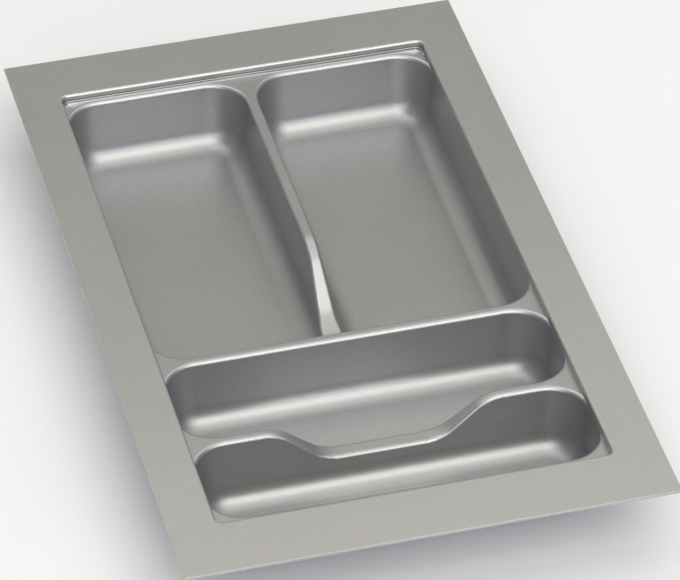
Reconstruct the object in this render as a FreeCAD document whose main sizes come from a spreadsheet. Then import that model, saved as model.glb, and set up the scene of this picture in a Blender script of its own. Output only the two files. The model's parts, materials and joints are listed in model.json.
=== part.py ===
import FreeCAD, Part
import Sketcher
import math
import os

doc = FreeCAD.newDocument("cutlery_tray")

# Driving sizes: millimetres, and slopes in degrees
sizes = [
    ("overall_width", 300, "surround, left to right"),
    ("overall_length", 504, "surround, front to back"),
    ("overall_height", 52.1, "underside of the bins to the top of the surround"),
    ("frame_sheet", 2, "thickness of the surround"),
    ("tray_sheet", 2, "thickness of the tray"),
    ("side_rim", 29.5, "surround from its outer edge to the opening, left and right"),
    ("front_rim", 42, "surround from its outer edge to the opening, at the front"),
    ("back_rim", 39.25, "surround from its outer edge to the opening, at the back"),
    ("opening_corner", 4.5, "plan radius of the opening's corners"),
    ("opening_round", 2, "round-over at the top of the opening"),
    ("deck_drop", 5.9, "top of the surround down to the deck"),
    ("ledge_width", 8, "tray's ledge that reaches out beyond the skirt"),
    ("bead_clearance", 0.3, "play between the bead and the skirt"),
    ("bead_width", 0.9, "bead at each end of the deck"),
    ("bead_height", 2.1, "bead above the deck"),
    ("bead_leg", 10, "back bead past each corner, along the sides"),
    ("bead_round", 0.35, "round-over along the bead"),
    ("side_reach", 0.7, "bins beyond the opening's wall, left and right"),
    ("front_land", 7.85, "opening's wall to a bin, at the front"),
    ("back_land", 4.7, "opening's wall to a bin, at the back"),
    ("rib_width", 7.6, "between two bins, at the deck"),
    ("front_bin_width", 65.3, "front bin, front to back at the deck"),
    ("middle_bin_width", 67.9, "middle bin, front to back at the deck"),
    ("bin_corner", 24, "plan radius of a bin's corner at the deck"),
    ("bin_draft", 4.5, "lean of the bin walls"),
    ("floor_round", 14, "inside radius between wall and floor"),
    ("edge_round", 2.8, "round-over where the deck turns down into a bin"),
    ("long_dip_length", 45.4, "low part of the long rib, from the middle bin's rib to its slope"),
    ("long_dip_depth", 33.5, "deck down to the low part of the long rib"),
    ("long_dip_slope", 40, "steepest part of the long rib's fall"),
    ("long_dip_bend", 34, "radius of the long rib's bends"),
    ("cross_dip_width", 70.6, "bottom of the cross rib's dip, between its slopes"),
    ("cross_dip_depth", 24.7, "deck down to the bottom of the cross rib's dip"),
    ("cross_dip_slope", 40, "steepest part of the cross rib's sides"),
    ("cross_dip_bend", 28, "radius of the cross rib's bends"),
]

book = doc.addObject("Spreadsheet::Sheet", "Sizes")
for row, (alias, number, note) in enumerate(sizes, start=1):
    book.set(f"A{row}", alias)
    book.set(f"B{row}", str(number))
    book.set(f"C{row}", note)
    book.setAlias(f"B{row}", alias)

# Places and outlines, all worked out from the sizes
layout = doc.addObject("App::VarSet", "Layout")
outlines = {}


def place(name, formula):
    layout.addProperty("App::PropertyFloat", name)
    layout.setExpression(name, formula)


# An outline is its sharp corners in order, each with the radius that rounds it
def outline(name, corners):
    for index, (across, up, radius) in enumerate(corners):
        place(f"{name}_{index}_across", across)
        place(f"{name}_{index}_up", up)
        place(f"{name}_{index}_radius", radius)
    outlines[name] = len(corners)


def span(name, left, right, front, back):
    place(f"{name}_left", left)
    place(f"{name}_right", right)
    place(f"{name}_front", front)
    place(f"{name}_back", back)


def grown(inner, margin):
    across = (f"{inner}_left - {margin}", f"{inner}_right + {margin}")
    return across + (f"{inner}_front - {margin}", f"{inner}_back + {margin}")


def rectangle(name, edges, radius="0", square=()):
    span(name, *edges)
    corners = []
    for end, side in (("front", "left"), ("front", "right"), ("back", "right"), ("back", "left")):
        rounding = "0" if f"{end}_{side}" in square else radius
        corners.append((f"{name}_{side}", f"{name}_{end}", rounding))
    outline(name, corners)


# The surround and its opening; the skirt, and the tray's ledge, beads and deck, follow the opening
place("skirt_corner", "Sizes.opening_corner + Sizes.frame_sheet")
place("ledge_corner", "skirt_corner + Sizes.ledge_width")
place("bead_corner", "Sizes.opening_corner - Sizes.bead_clearance")
place("deck_corner", "bead_corner - Sizes.bead_width")
half_width, half_length = "Sizes.overall_width / 2", "Sizes.overall_length / 2"
rectangle("surround", (f"-{half_width}", half_width, f"-{half_length}", half_length))
opening_across = ("surround_left + Sizes.side_rim", "surround_right - Sizes.side_rim")
opening_along = ("surround_front + Sizes.front_rim", "surround_back - Sizes.back_rim")
rectangle("opening", opening_across + opening_along, "Sizes.opening_corner")
rectangle("skirt", grown("opening", "Sizes.frame_sheet"), "skirt_corner")
rectangle("ledge", grown("skirt", "Sizes.ledge_width"), "ledge_corner")
span("bead", *grown("opening", "(-Sizes.bead_clearance)"))
span("deck", *grown("bead", "(-Sizes.bead_width)"))

# A straight bead runs along the front of the deck; the back one turns a short way along the sides
front_bead_across = ("opening_left + Sizes.opening_corner", "opening_right - Sizes.opening_corner")
rectangle("front_bead", front_bead_across + ("bead_front", "deck_front"))
place("bead_stop", "bead_back - Sizes.bead_leg")
outline("back_bead", [
    ("bead_left", "bead_stop", "0"),
    ("deck_left", "bead_stop", "0"),
    ("deck_left", "deck_back", "deck_corner"),
    ("deck_right", "deck_back", "deck_corner"),
    ("deck_right", "bead_stop", "0"),
    ("bead_right", "bead_stop", "0"),
    ("bead_right", "bead_back", "bead_corner"),
    ("bead_left", "bead_back", "bead_corner"),
])

# The bins at the deck, from the front to the back, and the outside of the sheet round each
place("deck_level", "Sizes.overall_height - Sizes.deck_drop")
place("bin_depth", "deck_level - Sizes.tray_sheet")
place("lean", "tan(Sizes.bin_draft)")
place("bins_right", "opening_right + Sizes.side_reach")
place("bins_front", "opening_front + Sizes.front_land")
place("bins_back", "opening_back - Sizes.back_land")
place("rib_side", "Sizes.rib_width / 2")
place("front_bin_end", "bins_front + Sizes.front_bin_width")
place("middle_bin_start", "front_bin_end + Sizes.rib_width")
place("middle_bin_end", "middle_bin_start + Sizes.middle_bin_width")
place("long_bins_start", "middle_bin_end + Sizes.rib_width")
place("shell_corner", "Sizes.bin_corner + Sizes.tray_sheet")
bin_edges = {
    "left_bin": ("-bins_right", "-rib_side", "long_bins_start", "bins_back"),
    "right_bin": ("rib_side", "bins_right", "long_bins_start", "bins_back"),
    "middle_bin": ("-bins_right", "bins_right", "middle_bin_start", "middle_bin_end"),
    "front_bin": ("-bins_right", "bins_right", "bins_front", "front_bin_end"),
}
at_low_rib = {"left_bin": ["front_right"], "right_bin": ["front_left"]}
for name, edges in bin_edges.items():
    square = at_low_rib.get(name, [])
    rectangle(name, edges, "Sizes.bin_corner", square)
    rectangle(f"{name}_shell", grown(name, "Sizes.tray_sheet"), "shell_corner", square)

# Side view of the long rib: it falls towards the front and stays low up to the middle bin
place("long_turn", "tan(Sizes.long_dip_slope / 2)")
place("long_shift", "Sizes.tray_sheet * long_turn")
place("long_bottom", "long_bins_start + Sizes.long_dip_length")
place("long_top", "long_bottom + Sizes.long_dip_depth / tan(Sizes.long_dip_slope)")
place("long_start", "long_top + Sizes.long_dip_bend * long_turn + Sizes.tray_sheet")
place("long_under", "Sizes.long_dip_depth + Sizes.tray_sheet")
place("long_shell_start", "long_bins_start - Sizes.tray_sheet")
place("long_reach", "rib_side + long_under * lean + Sizes.floor_round")
place("within_sheet", "-Sizes.tray_sheet / 2")
outline("long_dip", [
    ("long_start", "0", "0"),
    ("long_top", "0", "Sizes.long_dip_bend"),
    ("long_bottom", "-Sizes.long_dip_depth", "Sizes.long_dip_bend"),
    ("long_bins_start + Sizes.long_dip_depth * lean", "-Sizes.long_dip_depth", "0"),
    ("long_bins_start - Sizes.deck_drop * lean", "Sizes.deck_drop", "0"),
    ("long_start", "Sizes.deck_drop", "0"),
])
outline("long_bed", [
    ("long_start", "-Sizes.tray_sheet", "0"),
    ("long_top + long_shift", "-Sizes.tray_sheet", "Sizes.long_dip_bend - Sizes.tray_sheet"),
    ("long_bottom + long_shift", "-long_under", "Sizes.long_dip_bend + Sizes.tray_sheet"),
    ("long_shell_start + long_under * lean", "-long_under", "0"),
    ("long_shell_start - within_sheet * lean", "within_sheet", "0"),
    ("long_start", "within_sheet", "0"),
])

# Front view of the cross rib: it dips in the middle
place("cross_turn", "tan(Sizes.cross_dip_slope / 2)")
place("cross_shift", "Sizes.tray_sheet * cross_turn")
place("cross_bottom", "Sizes.cross_dip_width / 2")
place("cross_top", "cross_bottom + Sizes.cross_dip_depth / tan(Sizes.cross_dip_slope)")
place("cross_start", "cross_top + Sizes.cross_dip_bend * cross_turn + Sizes.tray_sheet")
place("cross_under", "Sizes.cross_dip_depth + Sizes.tray_sheet")
place("cross_reach", "rib_side + cross_under * lean + Sizes.floor_round")
place("cross_rib_centre", "(front_bin_end + middle_bin_start) / 2")
outline("cross_dip", [
    ("-cross_start", "0", "0"),
    ("-cross_top", "0", "Sizes.cross_dip_bend"),
    ("-cross_bottom", "-Sizes.cross_dip_depth", "Sizes.cross_dip_bend"),
    ("cross_bottom", "-Sizes.cross_dip_depth", "Sizes.cross_dip_bend"),
    ("cross_top", "0", "Sizes.cross_dip_bend"),
    ("cross_start", "0", "0"),
    ("cross_start", "Sizes.deck_drop", "0"),
    ("-cross_start", "Sizes.deck_drop", "0"),
])
outline("cross_bed", [
    ("-cross_start", "-Sizes.tray_sheet", "0"),
    ("-cross_top - cross_shift", "-Sizes.tray_sheet", "Sizes.cross_dip_bend - Sizes.tray_sheet"),
    ("-cross_bottom - cross_shift", "-cross_under", "Sizes.cross_dip_bend + Sizes.tray_sheet"),
    ("cross_bottom + cross_shift", "-cross_under", "Sizes.cross_dip_bend + Sizes.tray_sheet"),
    ("cross_top + cross_shift", "-Sizes.tray_sheet", "Sizes.cross_dip_bend - Sizes.tray_sheet"),
    ("cross_start", "-Sizes.tray_sheet", "0"),
    ("cross_start", "within_sheet", "0"),
    ("-cross_start", "within_sheet", "0"),
])

# Rounds, held within the flats that they run out on
place("shell_round", "Sizes.floor_round + Sizes.tray_sheet")
place("end_land", "min(Sizes.front_land; Sizes.back_land) - Sizes.bead_clearance - Sizes.bead_width")
place("flat_share", "0.95")
place("deck_round", "min(Sizes.edge_round; flat_share * end_land; flat_share * rib_side)")
place("bead_top_round", "min(Sizes.bead_round; flat_share * Sizes.bead_width / 2)")
doc.recompute()


def new_body(name, height):
    body = doc.addObject("PartDesign::Body", name)
    body.Label = name
    body.setExpression("Placement.Base.z", height)
    return body


def bind(sketch, name, *constraint):
    index = sketch.addConstraint(Sketcher.Constraint(*constraint, getattr(layout, name)))
    sketch.renameConstraint(index, name)
    sketch.setExpression(f"Constraints.{name}", f"Layout.{name}")


def draw_corner(sketch, name, before, after, point, way_in, way_out, setback):
    radius = getattr(layout, f"{name}_radius")
    if radius == 0:
        sketch.addConstraint(Sketcher.Constraint("Coincident", before, 2, after, 1))
        corner = after
    else:
        inward = (way_out - way_in).normalize()
        middle = point + inward * (math.hypot(radius, setback) - radius)
        arc = sketch.addGeometry(Part.Arc(point - way_in * setback, middle, point + way_out * setback))
        turns_left = way_in.cross(way_out).z > 0
        first, last = (1, 2) if turns_left else (2, 1)
        sketch.addConstraint(Sketcher.Constraint("Tangent", before, 2, arc, first))
        sketch.addConstraint(Sketcher.Constraint("Tangent", arc, last, after, 1))
        bind(sketch, f"{name}_radius", "Radius", arc)
        corner = sketch.addGeometry(Part.Point(point), True)
        sketch.addConstraint(Sketcher.Constraint("PointOnObject", corner, 1, before))
        sketch.addConstraint(Sketcher.Constraint("PointOnObject", corner, 1, after))
    bind(sketch, f"{name}_across", "DistanceX", -1, 1, corner, 1)
    bind(sketch, f"{name}_up", "DistanceY", -1, 1, corner, 1)


def draw(sketch, name):
    corners = [f"{name}_{index}" for index in range(outlines[name])]
    points = [
        FreeCAD.Vector(getattr(layout, f"{corner}_across"), getattr(layout, f"{corner}_up"), 0)
        for corner in corners
    ]
    ways = [(after - point).normalize() for point, after in zip(points, points[1:] + points[:1])]
    setbacks = [
        getattr(layout, f"{corner}_radius") * math.tan(ways[index - 1].getAngle(ways[index]) / 2)
        for index, corner in enumerate(corners)
    ]
    lines = []
    for index, way in enumerate(ways):
        after = (index + 1) % len(corners)
        start = points[index] + way * setbacks[index]
        end = points[after] - way * setbacks[after]
        lines.append(sketch.addGeometry(Part.LineSegment(start, end)))
    for index, corner in enumerate(corners):
        before, after = lines[index - 1], lines[index]
        way_in, way_out = ways[index - 1], ways[index]
        draw_corner(sketch, corner, before, after, points[index], way_in, way_out, setbacks[index])


def origin_plane(body, role):
    return next(feature for feature in body.Origin.OriginFeatures if feature.Role == role)


def new_sketch(body, name, plane, drawn):
    sketch = body.newObject("Sketcher::SketchObject", name)
    sketch.AttachmentSupport = (origin_plane(body, plane), "")
    sketch.MapMode = "FlatFace"
    for outline_name in drawn:
        draw(sketch, outline_name)
    return sketch


def extrude(body, name, sketch, length, **settings):
    feature = body.newObject("PartDesign::Pad", name)
    feature.Profile = sketch
    feature.setExpression("Length", length)
    for setting, choice in settings.items():
        setattr(feature, setting, choice)
    return feature


def is_near(first, second):
    return abs(first - second) < 0.001


def is_level(shape, height):
    return is_near(shape.BoundBox.ZMin, height) and is_near(shape.BoundBox.ZMax, height)


def level_edges(base, height):
    return [edge for edge in base.Shape.Edges if is_level(edge, height)]


def names(kind, everything, chosen):
    numbered = enumerate(everything, start=1)
    return [f"{kind}{number}" for number, one in numbered if any(one.isSame(other) for other in chosen)]


def lean_walls(body, name, base, depth):
    doc.recompute()
    faces = base.Shape.Faces
    walls = [face for face in faces if is_near(face.BoundBox.ZMin, -depth) and not is_level(face, -depth)]
    feature = body.newObject("PartDesign::Draft", name)
    feature.Base = (base, names("Face", faces, walls))
    feature.NeutralPlane = (origin_plane(body, "XY_Plane"), [""])
    feature.Reversed = True
    feature.setExpression("Angle", "Sizes.bin_draft")
    doc.recompute()
    return feature


def fillet(body, name, base, edges, radius):
    feature = body.newObject("PartDesign::Fillet", name)
    feature.Base = (base, names("Edge", base.Shape.Edges, edges))
    feature.setExpression("Radius", radius)
    doc.recompute()
    return feature


# What the bins and the dips hollow out of the tray, drawn in the tray's own frame
hollow = new_body("hollow_form", "0")
bin_sketch = new_sketch(hollow, "bin_outlines", "XY_Plane", list(bin_edges))
forms = extrude(hollow, "bin_forms", bin_sketch, "Layout.bin_depth", Reversed=True)
walls = lean_walls(hollow, "bin_walls", forms, layout.bin_depth)
fillet(hollow, "bin_floors", walls, level_edges(walls, -layout.bin_depth), "Sizes.floor_round")
long_dip_sketch = new_sketch(hollow, "long_dip_outline", "YZ_Plane", ["long_dip"])
extrude(hollow, "long_dip_form", long_dip_sketch, "2 * Layout.long_reach", Midplane=True)
cross_dip_sketch = new_sketch(hollow, "cross_dip_outline", "XZ_Plane", ["cross_dip"])
cross_dip_sketch.setExpression("AttachmentOffset.Base.z", "-Layout.cross_rib_centre")
extrude(hollow, "cross_dip_form", cross_dip_sketch, "2 * Layout.cross_reach", Midplane=True)

# The tray: its outside first, then the hollows, then one round-over along the deck and through the dips
tray = new_body("tray_insert", "Layout.deck_level")
deck_sketch = new_sketch(tray, "deck_outline", "XY_Plane", ["ledge"])
extrude(tray, "deck_plate", deck_sketch, "Sizes.tray_sheet", Reversed=True)
shell_sketch = new_sketch(tray, "shell_outlines", "XY_Plane", [f"{name}_shell" for name in bin_edges])
shells = extrude(tray, "bin_shells", shell_sketch, "Layout.deck_level", Reversed=True)
shell_walls = lean_walls(tray, "shell_walls", shells, layout.deck_level)
underside = level_edges(shell_walls, -layout.deck_level)
fillet(tray, "bin_undersides", shell_walls, underside, "Layout.shell_round")
long_bed_sketch = new_sketch(tray, "long_bed_outline", "YZ_Plane", ["long_bed"])
extrude(tray, "long_dip_bed", long_bed_sketch, "2 * Layout.long_reach", Midplane=True)
cross_bed_sketch = new_sketch(tray, "cross_bed_outline", "XZ_Plane", ["cross_bed"])
cross_bed_sketch.setExpression("AttachmentOffset.Base.z", "-Layout.cross_rib_centre")
extrude(tray, "cross_dip_bed", cross_bed_sketch, "2 * Layout.cross_reach", Midplane=True)
bead_sketch = new_sketch(tray, "bead_outlines", "XY_Plane", ["front_bead", "back_bead"])
extrude(tray, "end_beads", bead_sketch, "Sizes.bead_height")
hollowed = tray.newObject("PartDesign::Boolean", "hollowed_tray")
hollowed.Type = "Cut"
hollowed.setObjects([hollow])
doc.recompute()
deck_face = next(face for face in hollowed.Shape.Faces if is_level(face, 0))
bin_rims = [
    edge for wire in deck_face.Wires
    if wire.BoundBox.YMin > layout.deck_front and wire.BoundBox.YMax < layout.deck_back
    for edge in wire.Edges
]
deck_edges = fillet(tray, "deck_edges", hollowed, bin_rims, "Layout.deck_round")
bead_top = level_edges(deck_edges, book.bead_height)
fillet(tray, "bead_edges", deck_edges, bead_top, "Layout.bead_top_round")

frame = new_body("surround_frame", "Sizes.overall_height")
ring_sketch = new_sketch(frame, "ring_outline", "XY_Plane", ["surround", "opening"])
extrude(frame, "flat_ring", ring_sketch, "Sizes.frame_sheet", Reversed=True)
skirt_sketch = new_sketch(frame, "skirt_outline", "XY_Plane", ["skirt", "opening"])
skirt = extrude(frame, "skirt_wall", skirt_sketch, "Sizes.deck_drop", Reversed=True)
doc.recompute()
top_face = max((face for face in skirt.Shape.Faces if is_level(face, 0)), key=lambda face: face.Area)
mouth = [
    edge for wire in top_face.Wires if not wire.isSame(top_face.OuterWire) for edge in wire.Edges
]
fillet(frame, "opening_edge", skirt, mouth, "Sizes.opening_round")

# Nothing is written unless every feature was made and every piece is one sound solid
for item in doc.Objects:
    if "Invalid" in item.State or "Error" in item.State:
        raise RuntimeError(f"{item.Label} was not made: {item.State}")
if hollowed.Shape.Volume >= hollowed.BaseFeature.Shape.Volume:
    raise RuntimeError("The bins were not hollowed out")
pieces = (tray, frame)
for piece in pieces:
    if piece.Shape.isNull() or not piece.Shape.isValid() or len(piece.Shape.Solids) != 1:
        raise RuntimeError(f"{piece.Label} is not one sound solid")

os.makedirs("parts", exist_ok=True)
for piece in pieces:
    piece.Shape.exportStep(f"parts/{piece.Label}.step")
    print(piece.Label, round(piece.Shape.Volume), piece.Shape.BoundBox)
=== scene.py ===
import json
import math

import bmesh
import bpy
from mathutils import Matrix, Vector

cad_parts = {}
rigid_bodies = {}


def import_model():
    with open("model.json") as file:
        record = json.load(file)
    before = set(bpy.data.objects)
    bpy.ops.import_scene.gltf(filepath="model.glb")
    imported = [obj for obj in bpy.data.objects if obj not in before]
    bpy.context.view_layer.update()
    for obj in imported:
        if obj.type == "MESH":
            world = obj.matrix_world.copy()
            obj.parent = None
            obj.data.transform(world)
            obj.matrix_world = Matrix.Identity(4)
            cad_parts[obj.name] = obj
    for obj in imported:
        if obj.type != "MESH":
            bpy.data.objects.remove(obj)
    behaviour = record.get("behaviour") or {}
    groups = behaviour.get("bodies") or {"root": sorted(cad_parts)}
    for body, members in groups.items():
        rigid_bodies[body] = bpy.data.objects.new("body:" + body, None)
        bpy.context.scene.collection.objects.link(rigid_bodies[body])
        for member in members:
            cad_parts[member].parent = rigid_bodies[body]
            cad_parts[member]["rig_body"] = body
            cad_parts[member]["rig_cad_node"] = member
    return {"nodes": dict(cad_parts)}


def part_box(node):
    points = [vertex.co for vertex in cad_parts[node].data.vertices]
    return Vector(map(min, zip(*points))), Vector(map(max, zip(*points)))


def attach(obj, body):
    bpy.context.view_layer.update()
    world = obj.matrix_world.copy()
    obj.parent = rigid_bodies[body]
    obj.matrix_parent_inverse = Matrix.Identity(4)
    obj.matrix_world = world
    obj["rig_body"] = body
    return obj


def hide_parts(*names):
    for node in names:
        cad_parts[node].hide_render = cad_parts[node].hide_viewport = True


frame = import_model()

scene = bpy.context.scene
scene.view_settings.view_transform = "Standard"
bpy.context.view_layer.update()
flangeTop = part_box("surround_frame")[1].z
print("frame loaded, top of the surround at", round(flangeTop * 1000, 1), "mm")


# shader maths: a wrapped socket takes + - * and adds the Math nodes itself
class Wire:
    def __init__(self, finish, socket):
        self.finish = finish
        self.socket = socket

    def maths(self, operation, first, second):
        return self.finish.node("ShaderNodeMath", {"operation": operation}, {0: first, 1: second})

    def __add__(self, other):
        return self.maths("ADD", self, other)

    def __radd__(self, other):
        return self.maths("ADD", other, self)

    def __sub__(self, other):
        return self.maths("SUBTRACT", self, other)

    def __rsub__(self, other):
        return self.maths("SUBTRACT", other, self)

    def __mul__(self, other):
        return self.maths("MULTIPLY", self, other)

    def __rmul__(self, other):
        return self.maths("MULTIPLY", other, self)


class Finish:
    def __init__(self, tree):
        self.tree = tree
        tree.nodes.clear()

    # any node: its type, its settings, then the values or links of its sockets
    def node(self, kind, settings=None, sockets=None, out=0):
        made = self.tree.nodes.new(kind)
        for name, value in (settings or {}).items():
            if name == "stops":
                self.setStops(made.color_ramp, value)
            else:
                setattr(made, name, value)
        for name, value in (sockets or {}).items():
            if isinstance(value, Wire):
                self.tree.links.new(value.socket, made.inputs[name])
            else:
                made.inputs[name].default_value = value
        return Wire(self, made.outputs[out]) if len(made.outputs) else made

    def setStops(self, ramp, stops):
        while len(ramp.elements) < len(stops):
            ramp.elements.new(1.0)
        for element, (position, tone) in zip(ramp.elements, stops):
            element.position = position
            element.color = tone + (1,)


def newFinish(name):
    material = bpy.data.materials.new(name)
    material.use_nodes = True
    return material, Finish(material.node_tree)


# silver plastic: satin, a little metal flake in it, a very fine moulded grain
trayLook = {
    # same plastic as the surround; this tone is set darker and bluer as painted shade for the bin walls
    "tone": (0.422, 0.427, 0.434),
    "deepTone": (0.402, 0.407, 0.414),
    "toneSpan": (0.30, 0.70),  # cloud values that get the deep tone and the full tone
    "metal": 0.86,
    "gloss": 0.39,             # roughness
    "glossSwing": 0.07,
    "cloudScale": 9.0,         # scales are per metre
    "cloudDetail": 4.0,
    "cloudRough": 0.55,
    "flakeScale": 1300.0,
    "flakeDetail": 1.0,
    "flakeSwing": 0.17,
    "mottleScale": 170.0,
    "mottleDetail": 2.0,
    "mottleSwing": 0.022,
    "grainScale": 1500.0,
    "grainDetail": 2.0,
    "grainRough": 0.6,
    "grainDepth": 0.000018,    # depths are in metres
    "peelScale": 210.0,
    "peelDetail": 1.0,
    "peelDepth": 0.00005,
    "rimHighlightTone": 0.10,           # painted highlight: rims a little lighter, and also smoother
    "rimGloss": 0.07,
    "rimHighlightLeast": 0.4,           # strength of the painted rim highlight where the cloud is 0
    "rimHighlightSwing": 1.2,           # and what the cloud adds to it
}
# the surround's tone and the tray's differ only by painted shade: the tray's is darker and bluer for its shaded
# walls
surroundLook = dict(trayLook, tone=(0.475, 0.474, 0.471), deepTone=(0.454, 0.453, 0.450))
noiseMiddle = 0.5
mixColour = {"factor": 0, "first": 6, "second": 7, "result": 2}  # a Mix node's colour sockets, by number


def silverPlastic(name, look):
    material, finish = newFinish(name)
    place = finish.node("ShaderNodeTexCoord", out="Object")

    def noise(kind, **more):
        sockets = {"Vector": place, "Scale": look[kind + "Scale"], "Detail": look[kind + "Detail"]}
        return finish.node("ShaderNodeTexNoise", {}, dict(sockets, **more))

    cloud = noise("cloud", Roughness=look["cloudRough"])
    grain = noise("grain", Roughness=look["grainRough"])
    flake = noise("flake")
    mottle = noise("mottle")
    peel = noise("peel")
    rim = finish.node("ShaderNodeAttribute", {"attribute_name": "rim"}, out="Fac")  # 1 along the rounded rims
    # painted highlight: the rims' colour is lightened along the rounds, and their roughness lowered
    paintedRimHighlight = rim * (look["rimHighlightLeast"] + look["rimHighlightSwing"] * cloud)

    stops = list(zip(look["toneSpan"], (look["deepTone"], look["tone"])))
    tint = finish.node("ShaderNodeValToRGB", {"stops": stops}, {"Fac": cloud})
    flakes = (flake - noiseMiddle) * (2 * look["flakeSwing"])
    blotches = (mottle - noiseMiddle) * (2 * look["mottleSwing"])
    # the last term lightens the rims as a painted highlight
    sparkle = 1 + flakes + blotches + paintedRimHighlight * look["rimHighlightTone"]
    grey = finish.node("ShaderNodeCombineColor", {}, {"Red": sparkle, "Green": sparkle, "Blue": sparkle})
    shade = finish.node(
        "ShaderNodeMix",
        {"data_type": "RGBA", "blend_type": "MULTIPLY"},
        {mixColour["factor"]: 1.0, mixColour["first"]: tint, mixColour["second"]: grey},
        out=mixColour["result"],
    )

    clouded = (cloud - noiseMiddle) * look["glossSwing"]
    flaked = (flake - noiseMiddle) * look["glossSwing"]
    gloss = look["gloss"] + clouded + flaked - paintedRimHighlight * look["rimGloss"]
    height = grain * look["grainDepth"] + peel * look["peelDepth"]
    bump = finish.node("ShaderNodeBump", {}, {"Strength": 1.0, "Distance": 1.0, "Height": height})
    surface = finish.node("ShaderNodeBsdfPrincipled", {}, {
        "Base Color": shade,
        "Metallic": look["metal"],
        "Roughness": gloss,
        "IOR": 1.5,
        "Normal": bump,
    })
    finish.node("ShaderNodeOutputMaterial", {}, {"Surface": surface})
    return material


# a merged copy of a solid, smooth on its rounds and crisp on its edges
def smoothCopy(nodeName, pieceName, form):
    bpy.ops.object.select_all(action="DESELECT")
    solid = frame["nodes"][nodeName]
    solid.select_set(True)
    bpy.context.view_layer.objects.active = solid
    bpy.ops.object.duplicate()
    piece = bpy.context.object
    piece.name = pieceName
    piece.data.name = pieceName
    piece.parent = None
    for mark in ("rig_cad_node", "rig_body"):  # the copy is a piece of its own, not the CAD node
        del piece[mark]
    bpy.ops.object.mode_set(mode="EDIT")
    bpy.ops.mesh.select_all(action="SELECT")
    bpy.ops.mesh.remove_doubles(threshold=form["mergeGap"])
    bpy.ops.object.mode_set(mode="OBJECT")
    if form["edgeBreak"]:
        bpy.ops.object.modifier_add(type="BEVEL")
        edge = piece.modifiers[-1]
        edge.limit_method = "ANGLE"
        edge.angle_limit = form["edgeAngle"]
        edge.width = form["edgeBreak"]
        edge.segments = form["edgeSteps"]
        bpy.ops.object.modifier_apply(modifier=edge.name)
    bpy.ops.object.shade_smooth_by_angle(angle=form["smoothAngle"])
    bpy.ops.object.modifier_add(type="WEIGHTED_NORMAL")
    weighted = piece.modifiers[-1]
    weighted.keep_sharp = True
    bpy.ops.object.modifier_apply(modifier=weighted.name)
    print(pieceName, len(piece.data.polygons), "faces")
    return piece


# marks the tight convex rounds, so that the finish can paint a lighter highlight on them and make them smoother
def markRims(piece, form):
    work = bmesh.new()
    work.from_mesh(piece.data)
    work.faces.ensure_lookup_table()
    rims = set()
    for edge in work.edges:
        if len(edge.link_faces) == 2:
            area = sum(face.calc_area() for face in edge.link_faces)
            reach = area / edge.calc_length()  # mean width of the two faces
            if edge.calc_face_angle_signed(0) > form["rimCurve"] * reach:
                rims.update(face.index for face in edge.link_faces)
    values = []
    for face in work.faces:
        for loop in face.loops:
            inside = all(near.index in rims for near in loop.vert.link_faces)
            values.append(1.0 if inside else 0.0)
    work.free()
    marks = piece.data.attributes.new("rim", "FLOAT", "CORNER")
    marks.data.foreach_set("value", values)
    print(piece.name, len(rims), "faces on rims")


def dress(piece, material, body, node):
    piece.data.materials.clear()
    piece.data.materials.append(material)
    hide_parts(node)
    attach(piece, body)


trayForm = {
    "mergeGap": 0.000002,            # metres
    "edgeBreak": 0.0,                # width of the broken edge in metres, 0 for none
    "edgeAngle": math.radians(60),   # only edges sharper than this are broken
    "edgeSteps": 2,
    "smoothAngle": math.radians(32),
    "rimCurve": 150,                 # 1 / metre
}
tray = smoothCopy("tray_insert", "formed_tray", trayForm)
markRims(tray, trayForm)
dress(tray, silverPlastic("silver_plastic_tray", trayLook), "tray", "tray_insert")
print("tray done")

surroundForm = dict(trayForm, edgeBreak=0.00025)
surround = smoothCopy("surround_frame", "flat_surround", surroundForm)
markRims(surround, surroundForm)
dress(surround, silverPlastic("silver_plastic_surround", surroundLook), "surround", "surround_frame")
print("surround done")


# studio: pale floor, soft lamps, a light sky
floorLook = {
    "size": 14.0,
    "tone": (0.90, 0.90, 0.925),
    "worn": (0.88, 0.88, 0.905),
    "toneSpan": (0.3, 0.7),
    "scale": 3.0,
    "detail": 3.0,
    "gloss": 0.9,
}


def paleFloor():
    bpy.ops.object.select_all(action="DESELECT")
    bpy.ops.mesh.primitive_plane_add(size=floorLook["size"])
    ground = bpy.context.object
    ground.name = "pale_floor"
    material, finish = newFinish("pale_floor")
    place = finish.node("ShaderNodeTexCoord", out="Object")
    sockets = {"Vector": place, "Scale": floorLook["scale"], "Detail": floorLook["detail"]}
    cloud = finish.node("ShaderNodeTexNoise", {}, sockets)
    stops = list(zip(floorLook["toneSpan"], (floorLook["worn"], floorLook["tone"])))
    tint = finish.node("ShaderNodeValToRGB", {"stops": stops}, {"Fac": cloud})
    surface = finish.node("ShaderNodeBsdfPrincipled", {}, {"Base Color": tint, "Roughness": floorLook["gloss"]})
    finish.node("ShaderNodeOutputMaterial", {}, {"Surface": surface})
    ground.data.materials.append(material)


# "from" is azimuth and lift in degrees, and a lift past 90 leans over to the back
lampLook = [
    {"name": "front_softbox", "from": (6, 50), "distance": 4.4,
     "size": (3.2, 2.5), "power": 34.0, "tone": (1.0, 0.958, 0.845)},
    {"name": "front_wide_softbox", "from": (8, 50), "distance": 4.4,
     "size": (6.4, 2.5), "power": 66.0, "tone": (1.0, 0.958, 0.845)},
    {"name": "low_softbox", "from": (0, 22), "distance": 4.4,
     "size": (8.8, 1.1), "power": 57.0, "tone": (0.95, 0.975, 1.0)},
    {"name": "overhead_softbox", "from": (0, 82), "distance": 1.8,
     "size": (1.9, 0.9), "power": 6.4, "tone": (1.0, 0.973, 0.893)},
    {"name": "back_softbox", "from": (0, 113), "distance": 1.45,
     "size": (2.45, 0.80), "power": 6.2, "tone": (1.0, 0.968, 0.883)},
]


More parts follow.
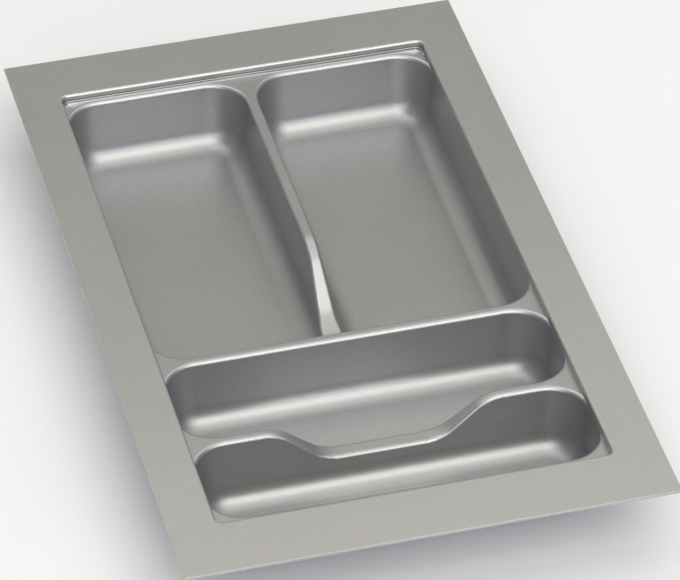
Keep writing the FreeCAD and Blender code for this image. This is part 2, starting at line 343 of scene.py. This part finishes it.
def wayOut(azimuth, lift):
    across = math.cos(lift)
    return Vector((math.sin(azimuth) * across, -math.cos(azimuth) * across, math.sin(lift)))


def softbox(look):
    away = wayOut(*(math.radians(angle) for angle in look["from"]))
    bpy.ops.object.light_add(type="AREA", location=away * look["distance"])
    lamp = bpy.context.object
    lamp.name = look["name"]
    lamp.rotation_euler = away.to_track_quat("Z", "Y").to_euler()
    lamp.data.shape = "RECTANGLE"
    lamp.data.size, lamp.data.size_y = look["size"]
    lamp.data.energy = look["power"]
    lamp.data.color = look["tone"]


skyLook = {
    "front": (0.32, 0.35, 0.40),
    "side": (0.245, 0.275, 0.325),
    "back": (0.50, 0.483, 0.440),
    "toneSpan": (0.0, 0.5, 0.85),  # 0 is the front and 1 the back
}


def paleSky():
    world = bpy.data.worlds.new("pale_sky")
    scene.world = world
    world.use_nodes = True
    finish = Finish(world.node_tree)
    way = finish.node("ShaderNodeTexCoord", out="Generated")
    depth = finish.node("ShaderNodeSeparateXYZ", {}, {"Vector": way}, out="Y")
    stops = list(zip(skyLook["toneSpan"], (skyLook["front"], skyLook["side"], skyLook["back"])))
    blend = finish.node("ShaderNodeValToRGB", {"stops": stops}, {"Fac": depth * 0.5 + 0.5})
    glow = finish.node("ShaderNodeBackground", {}, {"Color": blend, "Strength": 1.0})
    finish.node("ShaderNodeOutputWorld", {}, {"Surface": glow})


paleFloor()
for look in lampLook:
    softbox(look)
paleSky()
print("studio done")


# camera at the photograph's angle, for a picture of 680 by 580
viewLook = {
    "azimuth": -14.72,
    "elevation": 39.16,
    "distance": 3.089,
    "focal": 5000,           # pixels
    "shift": (14.3, -21.4),  # pixels
    "picture": 680,          # width in pixels
    "sensor": 36,            # millimetres
    "farClip": 100,
}


def photoCamera():
    azimuth, lift = math.radians(viewLook["azimuth"]), math.radians(viewLook["elevation"])
    aim = Vector((0, 0, flangeTop))
    location = aim + wayOut(azimuth, lift) * viewLook["distance"]
    bpy.ops.object.camera_add(location=location, rotation=(math.pi / 2 - lift, 0, azimuth))
    camera = bpy.context.object
    camera.name = "photo_camera"
    camera.data.sensor_width = viewLook["sensor"]
    camera.data.lens = viewLook["focal"] / viewLook["picture"] * viewLook["sensor"]
    camera.data.shift_x = viewLook["shift"][0] / viewLook["picture"]
    camera.data.shift_y = viewLook["shift"][1] / viewLook["picture"]
    camera.data.clip_end = viewLook["farClip"]
    scene.camera = camera


photoCamera()
print("camera done")
